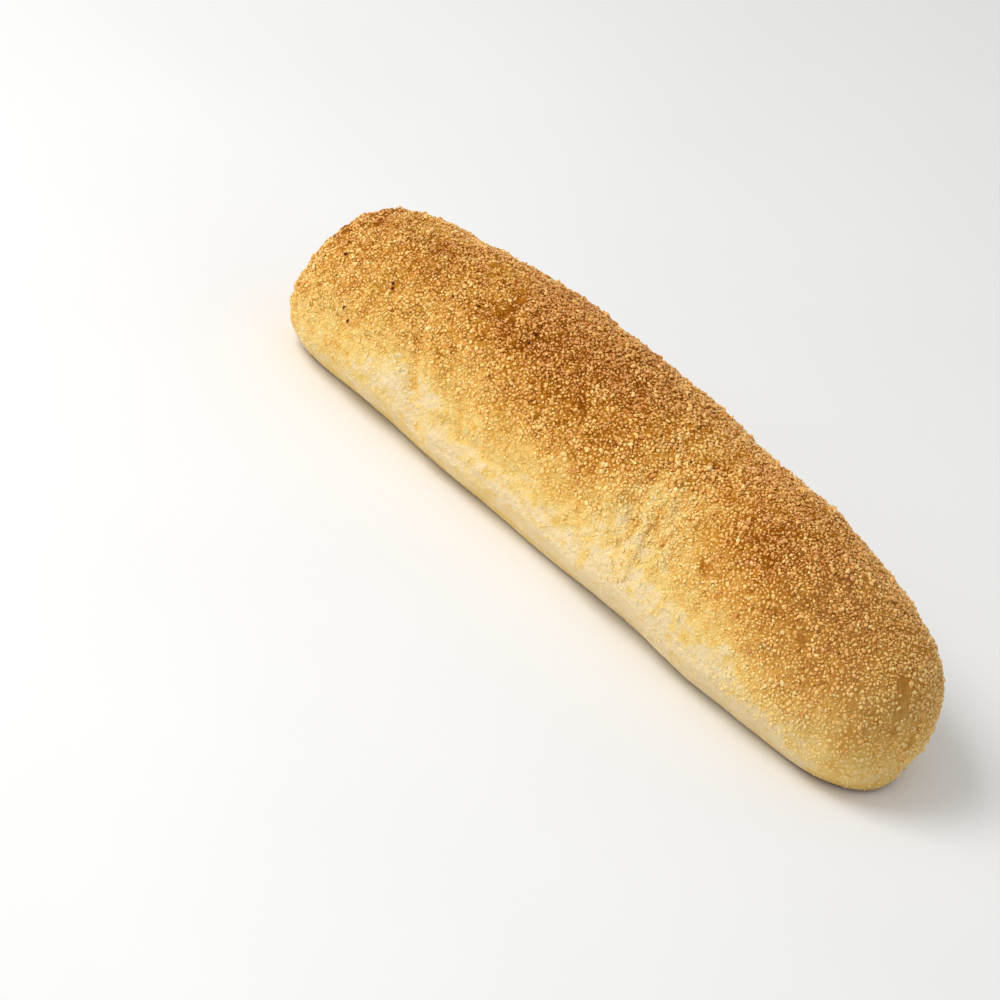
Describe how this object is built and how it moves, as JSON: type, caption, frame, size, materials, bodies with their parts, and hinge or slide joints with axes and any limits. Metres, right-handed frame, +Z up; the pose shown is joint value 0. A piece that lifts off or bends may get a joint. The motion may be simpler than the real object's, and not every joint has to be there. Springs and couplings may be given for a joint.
{
  "type": "semolina bread loaf",
  "caption": "Long soft bread roll with rounded ends and a flat underside, its baked crust coated in coarse semolina grains, brown along the crown and pale at the sides.",
  "frame": {"origin": "on the floor, under the middle of the loaf's box", "axes": "+X along the loaf towards its rounder end, +Z up, -Y towards the side that the picture shows"},
  "size_m": [0.2204, 0.0714, 0.0494],
  "materials": {
    "crust": "matte"
  },
  "bodies": {
    "root": {"loaf": "crust"}
  },
  "joints": []
}
